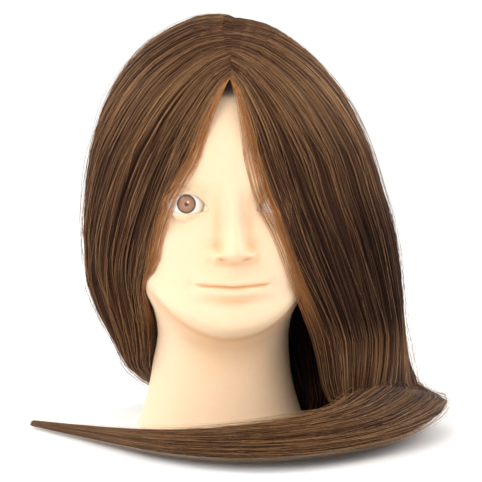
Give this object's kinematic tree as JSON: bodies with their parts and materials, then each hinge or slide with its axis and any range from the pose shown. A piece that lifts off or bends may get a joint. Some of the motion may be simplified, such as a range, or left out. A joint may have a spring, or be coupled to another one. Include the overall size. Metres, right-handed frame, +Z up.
{
  "type": "mannequin training head",
  "caption": "Soft vinyl practice head with face, ears and neck, inserted eyes, long rooted hair swept round onto the table, and a socket under the neck for a clamp post.",
  "frame": {"origin": "centre of the clamp-post socket's mouth, on the plane that the neck stands on", "axes": "+Z up along the socket's axis, -Y the way the face looks, +X the head's own left"},
  "size_m": [0.2792, 0.2598, 0.282],
  "materials": {
    "skin_vinyl": "matte",
    "lining": "matte",
    "foam": "matte",
    "eye_white": "gloss",
    "iris": "gloss",
    "base_plastic": "satin",
    "screw_steel": "satin",
    "hair": "satin"
  },
  "bodies": {
    "root": {"head_skin": "skin_vinyl", "root_lining": "lining", "foam_core": "foam", "eye_left": "eye_white", "eye_right": "eye_white", "iris_left": "iris", "iris_right": "iris", "post_socket": "base_plastic", "socket_cap": "base_plastic", "base_plate": "base_plastic", "neck_ring": "base_plastic", "base_screws": "screw_steel", "hair_top_left": "hair", "hair_top_right": "hair", "hair_side_left": "hair", "hair_side_right": "hair", "hair_crown": "hair", "hair_nape": "hair", "hair_fold": "hair", "hair_tail": "hair", "hair_tip": "hair"}
  },
  "joints": []
}
